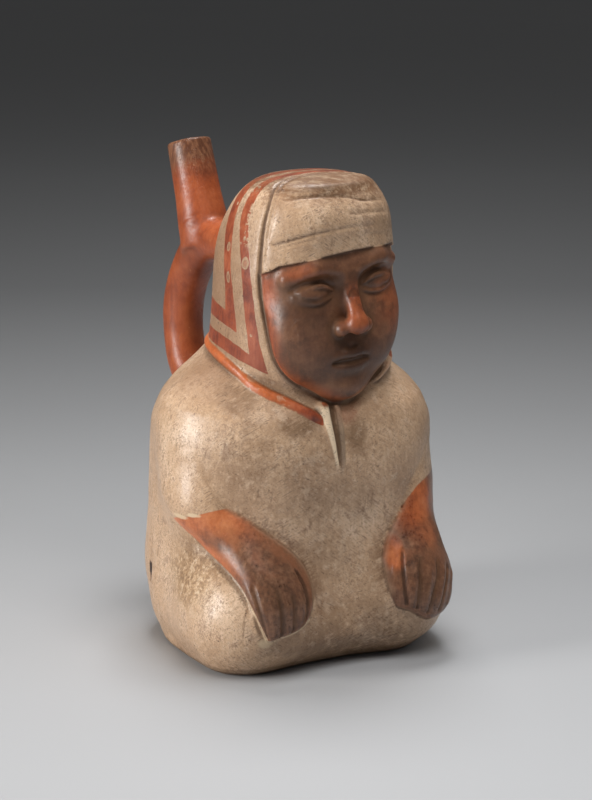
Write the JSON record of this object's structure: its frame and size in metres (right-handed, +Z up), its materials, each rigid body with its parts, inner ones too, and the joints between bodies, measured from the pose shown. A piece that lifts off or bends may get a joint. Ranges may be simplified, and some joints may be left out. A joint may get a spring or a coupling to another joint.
{
  "type": "stirrup-spout figure vessel",
  "caption": "Hollow fired-clay vessel in the form of a seated hooded figure with hands on its knees, with a hollow stirrup handle and a leaning spout behind the head.",
  "frame": {"origin": "centre of the underside's box, on the surface that the vessel stands on", "axes": "+Z up, the figure looks along -Y, the stirrup and spout are on the +Y side"},
  "size_m": [0.1312, 0.175, 0.2149],
  "materials": {
    "painted_clay": "burnished slip, satin"
  },
  "bodies": {
    "root": {"vessel": "painted_clay"}
  },
  "joints": []
}
